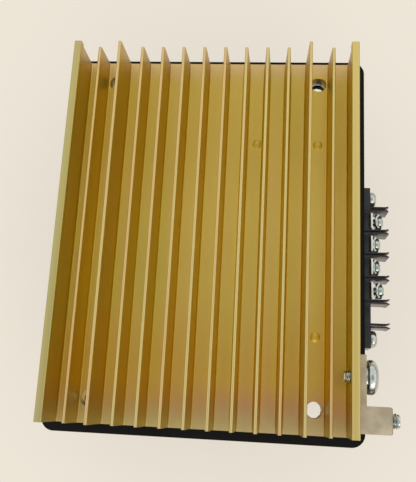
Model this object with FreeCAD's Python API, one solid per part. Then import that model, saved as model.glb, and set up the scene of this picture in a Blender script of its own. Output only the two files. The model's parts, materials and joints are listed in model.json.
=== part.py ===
import FreeCAD, Part
import math
import os
from FreeCAD import Vector

# AC motor drive: a finned aluminium heat sink closes a moulded cover that holds the power electronics.
# Millimetres, +Z up. The drive lies on the front face of its cover at z = 0, with the fins upwards.
# The origin is on that face, under the middle of the heat sink. The terminal strip is on the +X side.

# Heat sink extrusion, drawn in the XZ plane and cut to length along Y
base_thickness = 5.0
short_fin_height = 14.3
tall_fin_height = 19.0
fin_pitch = 8.66
inner_fins_per_side = 4
hole_channel_pitch = 9.42
fin_tip_thickness = 1.25
fin_root_thickness = 2.3
fin_root_fillet = 0.7
fin_tip_bevel = 0.3
flange_tip_thickness = 3.0
flange_web_thickness = 2.5
flange_lip_height = 4.0
flange_edge_radius = 0.4

# Fixing holes for the panel, each in the channel outside a tall fin
hole_channel_offset = 4.33
mounting_end_distance = 9.4
mounting_hole_radius = 3.05

# Cover: a deep body with a flange round its mouth, and a longer ledge at each end for the fixing holes
cover_wall = 3.0
cover_front_wall = 3.0
front_gap = 5.4
flange_side = 4.0
ledge_length = 22.0
rim_side = 5.0
rim_end = 3.8
flange_depth = 5.4
flange_plate = 2.8
flange_skirt = 2.5
flange_corner_radius = 5.2
body_corner_radius = 6.0
cavity_corner_radius = 3.0
front_edge_chamfer = 2.5
ledge_rib = 2.0
ledge_rib_x = 31.5
mounting_boss_side = 13.0
sleeve_across_flats = 8.6
sleeve_length = 2.0
vent_count = 6
vent_pitch = 12.0
vent_width = 2.4
vent_bottom = 9.0
vent_top = 27.0
trim_window_width = 5.0
trim_window_margin = 2.0

# Screws that hold the cover to the heat sink, one in the middle of each ledge
cover_screw_radius = 1.7
cover_screw_head_radius = 3.2
cover_screw_head_height = 2.2
cover_screw_grip = 3.9
cover_screw_boss_side = 9.0

# Fits shared by all the pieces, how far a cut runs past the face that it leaves, and what small rounds are
# drawn with: the number of sides on the outside, inside the closed cover, and on larger rounds
clearance = 0.1
hole_clearance = 0.3
overcut = 1.0
small_round_sides = 12
inner_round_sides = 8
large_round_sides = 20
driver_slot_share = 0.3
head_bevel_share = 0.3

# Barrier terminal strip on the +X wall of the cover
terminal_positions = 5
terminal_pitch = 9.75
strip_middle_y = -8.4
strip_end_length = 9.1
strip_depth = 9.6
strip_gap_below_flange = 0.3
strip_base_height = 7.5
strip_ear_height = 7.2
barrier_height = 7.3
barrier_thickness = 1.95
barrier_slot = 0.6
barrier_slot_floor = 1.0
barrier_tip_thickness = 2.5
barrier_tip_slot = 1.3
barrier_tip_length = 1.6
barrier_root = 1.0
barrier_corner = 1.5
terminal_hole_depth = 5.5

# Terminal hardware, in the wired positions
wired_positions = 4
loose_positions = (0, 3)
loose_lift = 1.3
contact_thickness = 0.8
contact_width = 6.6
contact_depth = 8.2
tail_width = 4.0
tail_thickness = 1.0
tail_overlap = 3.0
terminal_screw_radius = 1.7
terminal_head_radius = 3.1
terminal_head_height = 2.4
terminal_screw_length = 6.0
clamp_side = 6.2
clamp_thickness = 1.0
ear_screw_offset = 5.1
ear_screw_radius = 1.75
ear_head_radius = 3.45
ear_head_height = 2.6
ear_boss_side = 7.4
ear_boss_length = 2.8
ear_screw_tip_gap = 0.5

# Ground lug and its screw on the outer face of the +X flange
ground_y = -54.3
ground_height = 9.3
ground_screw_radius = 2.4
ground_head_radius = 6.35
ground_head_height = 3.8
ground_head_rim = 1.4
ground_head_flat_radius = 4.2
ground_recess_length = 7.6
ground_recess_width = 1.6
ground_recess_depth = 1.9
ground_recess_turn = 30
ground_thread_beyond_flange = 2.4
ground_washer_radius = 4.6
ground_washer_thickness = 0.9
lug_tongue_thickness = 2.7
lug_tongue_top = 7.8
lug_body_start = 10.2
lug_body_length = 9.6
lug_body_reach = 11.8
lug_width = 11.2
lug_corner_chamfer = 0.6
lug_bore_radius = 2.8
lug_bore_reach = 5.6
clamp_screw_radius = 2.9
clamp_screw_proud = 3.1
clamp_screw_slot = 1.0

# Circuit board, hung under the heat sink on standoffs; what it carries gives it its size
part_gap = 3.5
board_margin_x = 5.95
board_margin_y = 12.0
board_gap = 3.5
board_thickness = 1.6
board_corner_chamfer = 2.0
standoff_length = 12.0
standoff_end_distance = 12.0
standoff_across_flats = 7.0
standoff_stud_radius = 2.0
standoff_stud_length = 4.0
board_screw_radius = 1.5
board_screw_head_radius = 2.8
board_screw_head_height = 2.0
board_screw_grip = 6.0

# Power module against the heat sink
module_x = -14.0
module_width = 62.0
module_length = 32.0
module_height = 10.0
module_lug_width = 7.0
module_lug_height = 5.0
module_pins_per_row = 5
module_pin_pitch = 9.5
module_pin_inset = 3.0
pin_side = 0.8
pad_thickness = 0.5
module_screw_radius = 1.5
module_screw_head_radius = 2.9
module_screw_head_height = 2.0
module_screw_grip = 3.0

# Rectifier bridge against the heat sink
bridge_x = 18.3
bridge_side = 25.0
bridge_height = 7.5
bridge_chamfer = 4.0
bridge_blade_spacing = 16.0
bridge_blade_width = 5.0
bridge_blade_thickness = 0.8
bridge_screw_radius = 2.0
bridge_screw_head_radius = 3.8
bridge_screw_head_height = 2.5

# Parts on the lower side of the board
bus_capacitor_radius = 15.0
bus_capacitor_height = 28.0
bus_capacitor_edge = 1.2
film_capacitor_size = (10.0, 30.0, 20.0)
choke_outer_radius = 11.5
choke_inner_radius = 6.0
choke_height = 9.0
choke_wire = 1.6
choke_turns = 8
choke_base_height = 2.0
choke_base_radius = 13.5
relay_size = (15.6, 20.0, 17.0)
transformer_core = (34.0, 12.0, 24.0)
transformer_limb = 6.0
transformer_coil_length = 26.0
transformer_coil_wall = 0.3
thermistor_radius = 8.0
thermistor_thickness = 4.5
thermistor_lead = 1.2
thermistor_lead_spacing = 7.5
thermistor_gap = 1.5
fuse_radius = 2.6
fuse_length = 20.0
fuse_cap_length = 5.0
fuse_clip_thickness = 0.5
fuse_clip_width = 4.0
fuse_rise = 4.2
trim_pot_count = 4
trim_pot_pitch = 10.0
trim_pot_side = 7.0
trim_pot_height = 9.0
trim_pot_slot_length = 4.0
trim_pot_slot_width = 0.8
trim_pot_slot_depth = 1.0
controller_side = 12.0
controller_height = 1.6
gate_driver_size = (10.0, 7.0, 2.6)
gate_driver_gap = 3.0

# The board's parts stand in a row along X and a column along Y, and the board, the body, the flange and the
# heat sink are each laid out round what they hold
part_widths = (2 * bus_capacitor_radius, film_capacitor_size[0], 2 * choke_base_radius, relay_size[0])
part_row = sum(part_widths) + (len(part_widths) - 1) * part_gap
part_column = 4 * bus_capacitor_radius + controller_side + 2 * part_gap
board_width = part_row + 2 * board_margin_x
board_length = part_column + 2 * board_margin_y
body_width = board_width + 2 * (board_gap + cover_wall)
body_length = board_length + 2 * (board_gap + cover_wall)
flange_width_x = body_width + 2 * flange_side
flange_length_y = body_length + 2 * ledge_length
sink_width = flange_width_x - 2 * rim_side
sink_length = flange_length_y - 2 * rim_end
cover_height = cover_front_wall + front_gap + bus_capacitor_height + board_thickness + standoff_length

# Places of the parts on the board
capacitor_x = -part_row / 2 + bus_capacitor_radius
film_x = capacitor_x + bus_capacitor_radius + part_gap + film_capacitor_size[0] / 2
choke_x = film_x + film_capacitor_size[0] / 2 + part_gap + choke_base_radius
relay_x = choke_x + choke_base_radius + part_gap + relay_size[0] / 2
first_row_y = part_column / 2 - bus_capacitor_radius
second_row_y = first_row_y - 2 * bus_capacitor_radius - part_gap
control_row_y = second_row_y - bus_capacitor_radius - part_gap - controller_side / 2
bus_capacitor_places = ((capacitor_x, first_row_y), (capacitor_x, second_row_y))
film_capacitor_place = (film_x, first_row_y)
choke_place = (choke_x, first_row_y)
relay_place = (relay_x, first_row_y)
transformer_place = (
    capacitor_x + bus_capacitor_radius + 2 * part_gap + transformer_core[0] / 2,
    first_row_y - choke_base_radius - part_gap - transformer_coil_length / 2,
)
thermistor_place = (relay_x, first_row_y - relay_size[1] / 2 - 2 * part_gap - thermistor_thickness / 2)
fuse_place = (relay_x, thermistor_place[1] - thermistor_thickness / 2 - 2 * part_gap - fuse_length / 2)
controller_place = (capacitor_x, control_row_y)
gate_driver_x = capacitor_x + controller_side / 2 + 2 * part_gap + gate_driver_size[0] / 2
gate_driver_pitch = gate_driver_size[1] + gate_driver_gap
gate_driver_places = [(gate_driver_x, control_row_y + side * gate_driver_pitch / 2) for side in (-1, 1)]
trim_pot_x = gate_driver_x + gate_driver_size[0] / 2 + 2 * part_gap + trim_pot_side / 2
trim_pot_places = [(trim_pot_x + i * trim_pot_pitch, control_row_y) for i in range(trim_pot_count)]

# Levels and places that follow from the sizes above
sink_bottom = cover_height
sink_floor = sink_bottom + base_thickness
sink_top = sink_floor + tall_fin_height
flange_bottom = cover_height - flange_depth
sleeve_bore_radius = mounting_hole_radius + hole_clearance
board_top = sink_bottom - standoff_length
board_bottom = board_top - board_thickness
tall_fin_x = (inner_fins_per_side + 0.5) * fin_pitch
outer_fin_x = tall_fin_x + hole_channel_pitch
mounting_spacing_x = 2 * (tall_fin_x + hole_channel_offset)
mounting_spacing_y = sink_length - 2 * mounting_end_distance
standoff_spacing_x = mounting_spacing_x
standoff_spacing_y = board_length - 2 * standoff_end_distance
wall_outer_x = body_width / 2
wall_inner_x = wall_outer_x - cover_wall
strip_top = flange_bottom - strip_gap_below_flange
strip_bottom = strip_top - strip_depth
strip_middle_z = (strip_top + strip_bottom) / 2
strip_face_x = wall_outer_x + strip_base_height
strip_first_barrier_y = strip_middle_y + terminal_positions * terminal_pitch / 2
terminal_ys = [strip_first_barrier_y - (i + 0.5) * terminal_pitch for i in range(terminal_positions)]
barrier_ys = [strip_first_barrier_y - i * terminal_pitch for i in range(terminal_positions + 1)]
ear_screw_ys = [barrier_ys[0] + ear_screw_offset, barrier_ys[-1] - ear_screw_offset]
tail_top = board_bottom
tail_bottom = tail_top - tail_thickness
ground_z = sink_floor + ground_height
sink_side_x = sink_width / 2
lug_bore_x = sink_side_x + lug_bore_reach
lug_body_top_y = ground_y - lug_body_start
lug_clamp_y = lug_body_top_y - lug_body_length / 2


def box(x0, x1, y0, y1, z0, z1):
    return Part.makeBox(x1 - x0, y1 - y0, z1 - z0, Vector(x0, y0, z0))


def block(middle, size, z0, z1):
    half_x = size[0] / 2
    half_y = size[1] / 2
    return box(middle[0] - half_x, middle[0] + half_x, middle[1] - half_y, middle[1] + half_y, z0, z1)


def upright_edges(shape):
    return [e for e in shape.Edges if abs(e.tangentAt(e.FirstParameter).z) > 0.999]


def rounded_block(middle, size, z0, z1, radius):
    plain = block(middle, size, z0, z1)
    return plain.makeFillet(radius, upright_edges(plain))


def rod(radius, start, direction, length):
    return Part.makeCylinder(radius, length, start, direction)


def upright_rod(radius, place, z0, z1):
    return rod(radius, Vector(place[0], place[1], z0), Vector(0, 0, 1), z1 - z0)


# A round with few sides, for what is small and repeated; a hole and its shank nest corner to corner
def small_rod(radius, start, direction, length, sides=small_round_sides):
    corners = [
        Vector(radius * math.cos(2 * math.pi * i / sides), radius * math.sin(2 * math.pi * i / sides), 0)
        for i in range(sides)
    ]
    prism = Part.Face(Part.makePolygon(corners + corners[:1])).extrude(Vector(0, 0, length))
    return aim(prism, start, direction)


def small_upright_rod(radius, place, z0, z1, sides=small_round_sides):
    return small_rod(radius, Vector(place[0], place[1], z0), Vector(0, 0, 1), z1 - z0, sides)


def corner_places(spacing_x, spacing_y):
    return [(sx * spacing_x / 2, sy * spacing_y / 2) for sx in (-1, 1) for sy in (-1, 1)]


def join(shapes):
    result = shapes[0]
    if len(shapes) > 1:
        result = result.fuse(shapes[1:]).removeSplitter()
    return result


def aim(shape, seat, direction):
    turned = shape.copy()
    turned.Placement = FreeCAD.Placement(seat, FreeCAD.Rotation(Vector(0, 0, 1), direction))
    return turned


# A slotted screw: a bevelled head above z = 0 and a shank below it, as one solid
def slotted_screw(head_radius, head_height, shank_radius, shank_length):
    head = small_rod(head_radius, Vector(0, 0, 0), Vector(0, 0, 1), head_height)
    top_edges = [e for e in head.Edges if e.BoundBox.ZMin > head_height / 2]
    head = head.makeChamfer(head_bevel_share * head_height, top_edges)
    slot_half = driver_slot_share * head_radius / 2
    reach = head_radius + overcut
    slot = box(-reach, reach, -slot_half, slot_half, head_height / 2, head_height + overcut)
    shank = small_rod(shank_radius, Vector(0, 0, -shank_length), Vector(0, 0, 1), shank_length)
    return join([head.cut(slot), shank])


# A hexagon-headed screw, for the places inside and under the cover
def hex_screw(head_radius, head_height, shank_radius, shank_length):
    head = small_upright_rod(head_radius, (0, 0), 0, head_height, sides=6)
    return join([head, small_upright_rod(shank_radius, (0, 0), -shank_length, 0, sides=inner_round_sides)])


# One upright of the extrusion from floor to floor, left to right: root fillet, tapered side, bevelled tip
def fin_edges(middle_x, height, floor_z):
    root = fin_root_thickness / 2
    tip = fin_tip_thickness / 2
    side_height = height - fin_tip_bevel
    side_length = math.hypot(root - tip, side_height)
    across = (root - tip) / side_length
    along = side_height / side_length
    run = fin_root_fillet * (1 - across) / along
    centre = Vector(-root + run * across - fin_root_fillet * along, 0, fin_root_fillet)
    on_floor = Vector(centre.x, 0, 0)
    on_side = Vector(-root + run * across, 0, run * along)
    towards_corner = Vector(along, 0, -across - 1)
    on_arc = centre + towards_corner.normalize() * fin_root_fillet
    shoulder = Vector(-tip, 0, side_height)
    edge = Vector(fin_tip_bevel - tip, 0, height)
    place = Vector(middle_x, 0, floor_z)
    left = [place + p for p in (on_floor, on_arc, on_side, shoulder, edge)]
    right = [place + Vector(-p.x, 0, p.z) for p in (on_floor, on_arc, on_side, shoulder, edge)]
    tip_points = left[2:] + right[:1:-1]
    edges = [Part.Arc(left[0], left[1], left[2]).toShape()]
    edges += [Part.makeLine(a, b) for a, b in zip(tip_points, tip_points[1:])]
    edges.append(Part.Arc(right[2], right[1], right[0]).toShape())
    return edges, left[0], right[0]


# The side flange's corners from its foot on the floor, over the lipped tip, down to the underside
def flange_corners(side):
    inner_web = sink_side_x - flange_web_thickness
    inner_tip = sink_side_x - flange_tip_thickness
    lip_bottom = sink_top - flange_lip_height
    points = [
        (inner_web - fin_root_fillet, sink_floor),
        (inner_web, sink_floor + fin_root_fillet),
        (inner_web, lip_bottom),
        (inner_tip, lip_bottom + flange_tip_thickness - flange_web_thickness),
        (inner_tip, sink_top - flange_edge_radius),
        (inner_tip + flange_edge_radius, sink_top),
        (sink_side_x - flange_edge_radius, sink_top),
        (sink_side_x, sink_top - flange_edge_radius),
        (sink_side_x, sink_bottom),
    ]
    return [Vector(side * x, 0, z) for x, z in points]


def heat_sink_profile():
    inner = [(i + 0.5) * fin_pitch for i in range(inner_fins_per_side)]
    fins = [(x, short_fin_height) for x in inner + [outer_fin_x]] + [(tall_fin_x, tall_fin_height)]
    fins = sorted(fins + [(-x, h) for x, h in fins])
    left_flange = list(reversed(flange_corners(-1)))
    right_flange = flange_corners(1)
    edges = [Part.makeLine(a, b) for a, b in zip(left_flange, left_flange[1:])]
    last = left_flange[-1]
    for middle_x, height in fins:
        fin, foot, end = fin_edges(middle_x, height, sink_floor)
        edges.append(Part.makeLine(last, foot))
        edges.extend(fin)
        last = end
    edges.append(Part.makeLine(last, right_flange[0]))
    edges.extend(Part.makeLine(a, b) for a, b in zip(right_flange, right_flange[1:]))
    edges.append(Part.makeLine(right_flange[-1], left_flange[0]))
    return Part.Face(Part.Wire(Part.__sortEdges__(edges)))


def heat_sink():
    body = heat_sink_profile().extrude(Vector(0, sink_length, 0))
    body.translate(Vector(0, -sink_length / 2, 0))
    standoffs = corner_places(standoff_spacing_x, standoff_spacing_y)
    bridge = (bridge_x, standoff_spacing_y / 2)
    for place in corner_places(mounting_spacing_x, mounting_spacing_y):
        hole_top = sink_floor + fin_root_fillet
        body = body.cut(upright_rod(mounting_hole_radius, place, sink_bottom - overcut, hole_top))
    blind = [(place, standoff_stud_radius, standoff_stud_length) for place in standoffs]
    blind.append((bridge, bridge_screw_radius, standoff_stud_length))
    blind += [(place, module_screw_radius, module_screw_grip) for place in module_screw_places()]
    blind += [(place, cover_screw_radius, cover_screw_grip) for place in cover_screw_places()]
    for place, radius, depth in blind:
        hole_top = sink_bottom + depth + clearance
        body = body.cut(
            small_upright_rod(radius + clearance, place, sink_bottom - overcut, hole_top, inner_round_sides)
        )
    ground_hole = rod(
        ground_screw_radius + clearance / 2,
        Vector(sink_side_x - flange_web_thickness - overcut, ground_y, ground_z),
        Vector(1, 0, 0),
        flange_web_thickness + 2 * overcut,
    )
    return body.cut(ground_hole)


def module_screw_places():
    offset = (module_width - module_lug_width) / 2
    return [(module_x - offset, 0.0), (module_x + offset, 0.0)]


def cover_screw_places():
    return [(0.0, -mounting_spacing_y / 2), (0.0, mounting_spacing_y / 2)]


# The ledge at each end is cored from below, and keeps a skirt, ribs and a square boss round every hole
def ledge_core(side):
    body_end = body_length / 2
    skirt_end = flange_length_y / 2 - flange_skirt
    skirt_side = flange_width_x / 2 - flange_skirt
    y0, y1 = sorted((side * (body_end + ledge_rib / 2), side * skirt_end))
    core_top = cover_height - flange_plate
    core = box(-skirt_side, skirt_side, y0, y1, flange_bottom - overcut, core_top)
    half_rib = ledge_rib / 2
    for rib_x in (-ledge_rib_x, 0, ledge_rib_x):
        core = core.cut(box(rib_x - half_rib, rib_x + half_rib, y0, y1, flange_bottom - overcut, core_top))
    hole_y = side * mounting_spacing_y / 2
    for x in (-mounting_spacing_x / 2, mounting_spacing_x / 2):
        boss = (mounting_boss_side, mounting_boss_side)
        core = core.cut(block((x, hole_y), boss, flange_bottom - overcut, core_top))
    return core.cut(
        block((0, hole_y), (cover_screw_boss_side, cover_screw_boss_side), flange_bottom - overcut, core_top)
    )


def cover_body():
    outer = rounded_block((0, 0), (body_width, body_length), 0, cover_height, body_corner_radius)
    front_edges = [e for e in outer.Edges if e.BoundBox.ZMax < 0.001]
    return outer.makeChamfer(front_edge_chamfer, front_edges)


def cover():
    flange = rounded_block(
        (0, 0), (flange_width_x, flange_length_y), flange_bottom, cover_height, flange_corner_radius
    )
    shell = join([flange.cut(ledge_core(-1)).cut(ledge_core(1)), cover_body()])
    cavity_size = (body_width - 2 * cover_wall, body_length - 2 * cover_wall)
    shell = shell.cut(
        rounded_block((0, 0), cavity_size, cover_front_wall, cover_height + overcut, cavity_corner_radius)
    )
    half_boss = ear_boss_side / 2
    bosses = [
        box(wall_inner_x - ear_boss_length, wall_inner_x + cover_wall / 2, y - half_boss, y + half_boss,
            strip_middle_z - half_boss, strip_middle_z + half_boss)
        for y in ear_screw_ys
    ]
    shell = join([shell] + bosses)
    for place in corner_places(mounting_spacing_x, mounting_spacing_y):
        shell = shell.cut(
            small_upright_rod(sleeve_bore_radius, place, flange_bottom - overcut, cover_height + overcut)
        )
        shell = shell.cut(
            hex_rod(sleeve_across_flats, place, cover_height - sleeve_length, cover_height + overcut)
        )
    for place in cover_screw_places():
        shell = shell.cut(
            small_upright_rod(cover_screw_radius + hole_clearance, place, flange_bottom - overcut,
                              cover_height + overcut, inner_round_sides)
        )
    for y in terminal_ys:
        shell = shell.cut(tail_slot(y, wall_inner_x - overcut, wall_outer_x + overcut))
    for y in ear_screw_ys:
        shell = shell.cut(small_rod(
            ear_screw_radius + clearance,
            Vector(wall_inner_x - ear_boss_length - overcut, y, strip_middle_z),
            Vector(1, 0, 0),
            ear_boss_length + cover_wall + 2 * overcut,
        ))
    return shell.cut(vent_slots()).cut(trim_window())


# One window in the front gives a screwdriver its way to the row of trim pots
def trim_window():
    reach = trim_pot_side / 2 - trim_window_margin
    x0 = trim_pot_places[0][0] - reach
    x1 = trim_pot_places[-1][0] + reach
    middle_y = trim_pot_places[0][1]
    half = trim_window_width / 2
    return box(x0, x1, middle_y - half, middle_y + half, -overcut, cover_front_wall + overcut)


def vent_slots():
    slots = []
    for i in range(vent_count):
        x = (i - (vent_count - 1) / 2) * vent_pitch
        reach = body_length / 2 + overcut
        slots.append(box(x - vent_width / 2, x + vent_width / 2, -reach, reach, vent_bottom, vent_top))
    return Part.makeCompound(slots)


def tail_slot(y, x0, x1):
    half = tail_width / 2 + clearance
    return box(x0, x1, y - half, y + half, tail_bottom - clearance, tail_top + clearance)


def mounting_sleeves():
    sleeves = []
    for place in corner_places(mounting_spacing_x, mounting_spacing_y):
        ring = hex_rod(sleeve_across_flats, place, cover_height - sleeve_length, cover_height)
        bore = small_upright_rod(sleeve_bore_radius, place, flange_bottom, cover_height + overcut)
        sleeves.append(ring.cut(bore))
    return Part.makeCompound(sleeves)


def cover_screws():
    length = flange_depth + cover_screw_grip
    one = hex_screw(cover_screw_head_radius, cover_screw_head_height, cover_screw_radius, length)
    return Part.makeCompound([
        aim(one, Vector(x, y, flange_bottom), Vector(0, 0, -1)) for x, y in cover_screw_places()
    ])


# A barrier is a pair of thin leaves with a slot between them that flares at the tip, and eased outer corners
def barrier(y):
    tip_x = strip_face_x + barrier_height
    flare_x = tip_x - barrier_tip_length
    slot_x = strip_face_x + barrier_slot_floor
    half = [
        (strip_face_x - barrier_root, barrier_thickness / 2),
        (flare_x, barrier_thickness / 2),
        (tip_x, barrier_tip_thickness / 2),
        (tip_x, barrier_tip_slot / 2),
        (flare_x, barrier_slot / 2),
        (slot_x, barrier_slot / 2),
    ]
    points = half + [(x, -offset) for x, offset in reversed(half)]
    outline = [Vector(x, y + offset, strip_bottom) for x, offset in points]
    leaves = Part.Face(Part.makePolygon(outline + outline[:1])).extrude(Vector(0, 0, strip_depth))
    corners = [
        e for e in leaves.Edges if e.BoundBox.XMin > tip_x - clearance and e.BoundBox.ZLength < clearance
    ]
    return leaves.makeChamfer(barrier_corner, corners)


def terminal_block():
    first = barrier_ys[0]
    last = barrier_ys[-1]
    base = box(wall_outer_x, strip_face_x, last, first, strip_bottom, strip_top)
    ears = box(
        wall_outer_x,
        wall_outer_x + strip_ear_height,
        last - strip_end_length,
        first + strip_end_length,
        strip_bottom,
        strip_top,
    )
    body = join([base, ears] + [barrier(y) for y in barrier_ys])
    for y in terminal_ys:
        hole = small_rod(
            terminal_screw_radius + hole_clearance,
            Vector(strip_face_x - terminal_hole_depth, y, strip_middle_z),
            Vector(1, 0, 0),
            terminal_hole_depth + overcut,
        )
        body = body.cut(hole).cut(tail_slot(y, wall_outer_x - overcut, strip_face_x + overcut))
    for y in ear_screw_ys:
        body = body.cut(small_rod(
            ear_screw_radius + clearance,
            Vector(wall_outer_x - overcut, y, strip_middle_z),
            Vector(1, 0, 0),
            strip_ear_height + 2 * overcut,
        ))
    return body


# A contact is a plate on the strip's face with a tail that runs in through the wall to the board
def terminal_contacts():
    contacts = []
    plate_x = strip_face_x + contact_thickness
    tail_x = board_width / 2 - tail_overlap
    for y in terminal_ys[:wired_positions]:
        plate = box(
            strip_face_x, plate_x, y - contact_width / 2, y + contact_width / 2,
            tail_bottom, tail_bottom + contact_depth
        )
        tail = box(tail_x, plate_x, y - tail_width / 2, y + tail_width / 2, tail_bottom, tail_top)
        hole = small_rod(
            terminal_screw_radius + clearance,
            Vector(strip_face_x - overcut, y, strip_middle_z),
            Vector(1, 0, 0),
            contact_thickness + 2 * overcut,
        )
        contacts.append(join([plate, tail]).cut(hole))
    return Part.makeCompound(contacts)


def clamp_seats():
    seats = []
    for i, y in enumerate(terminal_ys[:wired_positions]):
        lift = loose_lift if i in loose_positions else 0.0
        seats.append(Vector(strip_face_x + contact_thickness + lift, y, strip_middle_z))
    return seats


def wire_clamps():
    clamps = []
    half = clamp_side / 2
    for seat in clamp_seats():
        plate = box(
            seat.x, seat.x + clamp_thickness, seat.y - half, seat.y + half, seat.z - half, seat.z + half
        )
        hole = small_rod(
            terminal_screw_radius + clearance, seat - Vector(overcut, 0, 0), Vector(1, 0, 0),
            clamp_thickness + 2 * overcut
        )
        clamps.append(plate.cut(hole))
    return Part.makeCompound(clamps)


def terminal_screws():
    one = slotted_screw(
        terminal_head_radius, terminal_head_height, terminal_screw_radius, terminal_screw_length
    )
    lift = Vector(clamp_thickness, 0, 0)
    return Part.makeCompound([aim(one, seat + lift, Vector(1, 0, 0)) for seat in clamp_seats()])


def terminal_block_screws():
    length = strip_ear_height + cover_wall + ear_boss_length - ear_screw_tip_gap
    one = slotted_screw(ear_head_radius, ear_head_height, ear_screw_radius, length)
    seat_x = wall_outer_x + strip_ear_height
    return Part.makeCompound([
        aim(one, Vector(seat_x, y, strip_middle_z), Vector(1, 0, 0)) for y in ear_screw_ys
    ])


def ground_lug():
    half = lug_width / 2
    tongue = box(
        sink_side_x, sink_side_x + lug_tongue_thickness,
        lug_body_top_y - lug_body_length / 2, ground_y + lug_tongue_top, ground_z - half, ground_z + half
    )
    body = box(
        sink_side_x, sink_side_x + lug_body_reach,
        lug_body_top_y - lug_body_length, lug_body_top_y, ground_z - half, ground_z + half
    )
    outer_edges = [e for e in body.Edges if e.BoundBox.XMin > sink_side_x + lug_body_reach - 0.01]
    lug = join([tongue, body.makeChamfer(lug_corner_chamfer, outer_edges)])
    screw_hole = rod(
        ground_screw_radius + clearance, Vector(sink_side_x - overcut, ground_y, ground_z), Vector(1, 0, 0),
        lug_tongue_thickness + 2 * overcut
    )
    bore_start = Vector(lug_bore_x, lug_body_top_y - lug_body_length - overcut, ground_z)
    wire_bore = rod(lug_bore_radius, bore_start, Vector(0, 1, 0), lug_body_length + 2 * overcut)
    clamp_hole = rod(
        clamp_screw_radius + clearance / 2, Vector(lug_bore_x, lug_clamp_y, ground_z), Vector(1, 0, 0),
        lug_body_reach
    )
    return lug.cut(screw_hole).cut(wire_bore).cut(clamp_hole)


def ground_washer():
    seat = Vector(sink_side_x + lug_tongue_thickness, ground_y, ground_z)
    along = Vector(1, 0, 0)
    ring = small_rod(ground_washer_radius, seat, along, ground_washer_thickness, large_round_sides)
    hole_length = ground_washer_thickness + 2 * overcut
    hole = small_rod(
        ground_screw_radius + clearance, seat - along * overcut, along, hole_length, large_round_sides
    )
    return ring.cut(hole)


# A large screw whose head rises from a rim to a flat with a cross recess
def ground_screw():
    head_outline = [
        Vector(0, 0, 0),
        Vector(ground_head_radius, 0, 0),
        Vector(ground_head_radius, 0, ground_head_rim),
        Vector(ground_head_flat_radius, 0, ground_head_height),
        Vector(0, 0, ground_head_height),
    ]
    head = Part.Face(Part.makePolygon(head_outline + head_outline[:1]))
    head = head.revolve(Vector(0, 0, 0), Vector(0, 0, 1), 360)
    for turn in (ground_recess_turn, ground_recess_turn + 90):
        slot = block(
            (0, 0), (ground_recess_length, ground_recess_width), ground_head_height - ground_recess_depth,
            ground_head_height + overcut
        )
        slot.rotate(Vector(0, 0, 0), Vector(0, 0, 1), turn)
        head = head.cut(slot)
    stack = lug_tongue_thickness + ground_washer_thickness
    length = stack + flange_web_thickness + ground_thread_beyond_flange
    shank = small_upright_rod(ground_screw_radius, (0, 0), -length, 0, large_round_sides)
    return aim(join([head, shank]), Vector(sink_side_x + stack, ground_y, ground_z), Vector(1, 0, 0))


# A headless slotted screw, backed out so that its tip is clear of the wire bore
def lug_clamp_screw():
    tip_x = lug_bore_x + lug_bore_radius + clearance
    end_x = sink_side_x + lug_body_reach + clamp_screw_proud
    body = rod(clamp_screw_radius, Vector(tip_x, lug_clamp_y, ground_z), Vector(1, 0, 0), end_x - tip_x)
    half = clamp_screw_slot / 2
    slot = box(
        end_x - clamp_screw_slot, end_x + overcut, lug_clamp_y - half, lug_clamp_y + half,
        ground_z - 2 * clamp_screw_radius, ground_z + 2 * clamp_screw_radius
    )
    return body.cut(slot)


def module_pin_places():
    places = []
    row_y = module_length / 2 - module_pin_inset
    for i in range(module_pins_per_row):
        x = module_x + (i - (module_pins_per_row - 1) / 2) * module_pin_pitch
        places += [(x, -row_y), (x, row_y)]
    return places


def bridge_blade_places():
    half = bridge_blade_spacing / 2
    middle_y = standoff_spacing_y / 2
    return [(bridge_x + sx * half, middle_y + sy * half) for sx in (-1, 1) for sy in (-1, 1)]


def circuit_board():
    board = block((0, 0), (board_width, board_length), board_bottom, board_top)
    board = board.makeChamfer(board_corner_chamfer, upright_edges(board))
    for place in corner_places(standoff_spacing_x, standoff_spacing_y):
        board = board.cut(
            small_upright_rod(board_screw_radius + hole_clearance, place, board_bottom - overcut,
                              board_top + overcut, inner_round_sides)
        )
    pin_hole = (pin_side + 2 * clearance, pin_side + 2 * clearance)
    blade_hole = (bridge_blade_width + 2 * clearance, bridge_blade_thickness + 2 * clearance)
    holes = [(place, pin_hole) for place in module_pin_places()]
    holes += [(place, blade_hole) for place in bridge_blade_places()]
    return board.cut(Part.makeCompound([
        block(place, size, board_bottom - overcut, board_top + overcut) for place, size in holes
    ]))


def hex_rod(across_flats, place, z0, z1):
    return small_upright_rod(across_flats / math.sqrt(3), place, z0, z1, sides=6)


def board_standoffs():
    posts = []
    for place in corner_places(standoff_spacing_x, standoff_spacing_y):
        post = join([
            hex_rod(standoff_across_flats, place, board_top, sink_bottom),
            small_upright_rod(standoff_stud_radius, place, sink_bottom, sink_bottom + standoff_stud_length,
                              inner_round_sides),
        ])
        hole_top = board_top + board_screw_grip + clearance
        posts.append(post.cut(
            small_upright_rod(board_screw_radius + clearance, place, board_top - overcut, hole_top,
                              inner_round_sides)
        ))
    return Part.makeCompound(posts)


def board_screws():
    length = board_thickness + board_screw_grip
    one = hex_screw(board_screw_head_radius, board_screw_head_height, board_screw_radius, length)
    return Part.makeCompound([
        aim(one, Vector(x, y, board_bottom), Vector(0, 0, -1))
        for x, y in corner_places(standoff_spacing_x, standoff_spacing_y)
    ])


def thermal_pad():
    pad_bottom = sink_bottom - pad_thickness
    pad = block((module_x, 0), (module_width, module_length), pad_bottom, sink_bottom)
    for place in module_screw_places():
        pad = pad.cut(
            small_upright_rod(module_screw_radius + hole_clearance, place, pad_bottom - overcut,
                              sink_bottom + overcut, inner_round_sides)
        )
    return pad


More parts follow.
